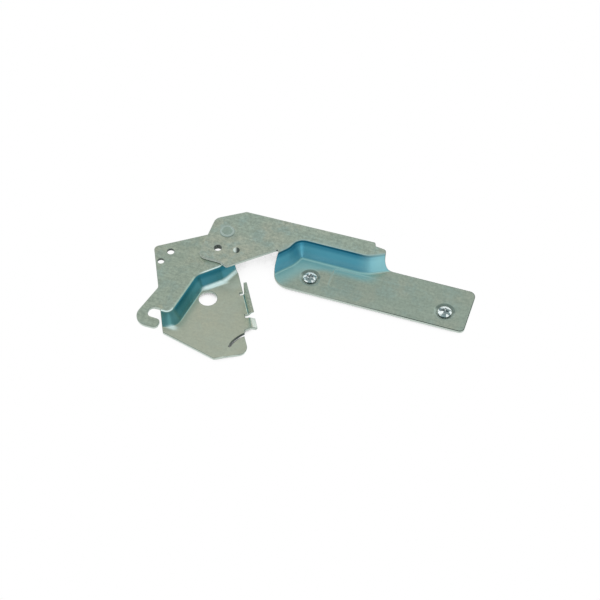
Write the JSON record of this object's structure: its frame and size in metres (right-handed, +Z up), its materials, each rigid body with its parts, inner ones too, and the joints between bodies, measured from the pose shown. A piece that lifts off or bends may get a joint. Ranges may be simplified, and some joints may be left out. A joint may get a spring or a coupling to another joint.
{
  "type": "dishwasher door hinge",
  "caption": "Door hinge for a dishwasher: a hooked frame bracket and a long door arm of stepped steel sheet, turning on a rivet, with screws for the door plate.",
  "frame": {"origin": "axis of the big frame hole, on the underside of the bracket's lower plate", "axes": "+X along the door arm, away from the pivot; +Y to the rear; +Z up, along the frame hole and the pivot"},
  "size_m": [0.2185, 0.1191, 0.0194],
  "materials": {
    "bracket_steel": "zinc-plated sheet, soft sheen",
    "arm_steel": "zinc-plated sheet, soft sheen",
    "rivet_steel": "zinc-plated, turned",
    "screw_steel": "zinc-plated, bright"
  },
  "bodies": {
    "frame": {"frame_bracket": "bracket_steel", "pivot_rivet": "rivet_steel"},
    "arm": {"door_arm": "arm_steel", "stop_pin": "rivet_steel", "door_screw_1": "screw_steel", "door_screw_2": "screw_steel"}
  },
  "joints": [
    {"name": "door_pivot", "type": "hinge", "parent": "frame", "child": "arm", "pos_m": [-0.0037, 0.0505, 0.01345], "axis": [0, 0, 1], "range_deg": [0, 90]}
  ]
}
